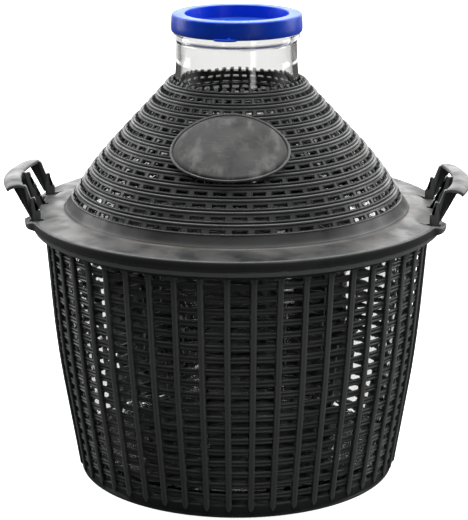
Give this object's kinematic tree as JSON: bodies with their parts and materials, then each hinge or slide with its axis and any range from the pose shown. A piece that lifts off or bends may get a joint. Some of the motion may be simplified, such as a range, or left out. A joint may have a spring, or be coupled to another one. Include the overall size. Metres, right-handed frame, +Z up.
{
  "type": "glass carboy",
  "caption": "Wide-mouth glass carboy in a tapered lattice basket with a conical lattice cover, a flange, toothed strap handles and a press-on lid.",
  "frame": {"origin": "centre of the basket's base, on the ground", "axes": "+Z up through the mouth, -Y the front with the oval badge, the handles on +X and -X"},
  "size_m": [0.4974, 0.4442, 0.496],
  "materials": {
    "basket_plastic": "satin moulded charcoal plastic",
    "cover_plastic": "satin moulded charcoal plastic, scuffed and dusty on the flange",
    "clear_glass": "clear pressed and blown glass",
    "blue_plastic": "semi-gloss moulded royal blue plastic",
    "handle_plastic": "satin moulded charcoal plastic"
  },
  "bodies": {
    "vessel": {"basket": "basket_plastic", "cover": "cover_plastic", "glass_jar": "clear_glass"},
    "lid": {"lid": "blue_plastic"},
    "handle_left": {"handle_left": "handle_plastic"},
    "handle_right": {"handle_right": "handle_plastic"}
  },
  "joints": [
    {"name": "lid_lift", "type": "slide", "parent": "vessel", "child": "lid", "axis": [0, 0, 1], "range_m": [0, 0.06]},
    {"name": "handle_left_rock", "type": "hinge", "parent": "vessel", "child": "handle_left", "pos_m": [-0.208, 0, 0.2865], "axis": [0, 1, 0], "range_deg": [0, 20]},
    {"name": "handle_right_rock", "type": "hinge", "parent": "vessel", "child": "handle_right", "pos_m": [0.208, 0, 0.2865], "axis": [0, -1, 0], "range_deg": [0, 20]}
  ]
}
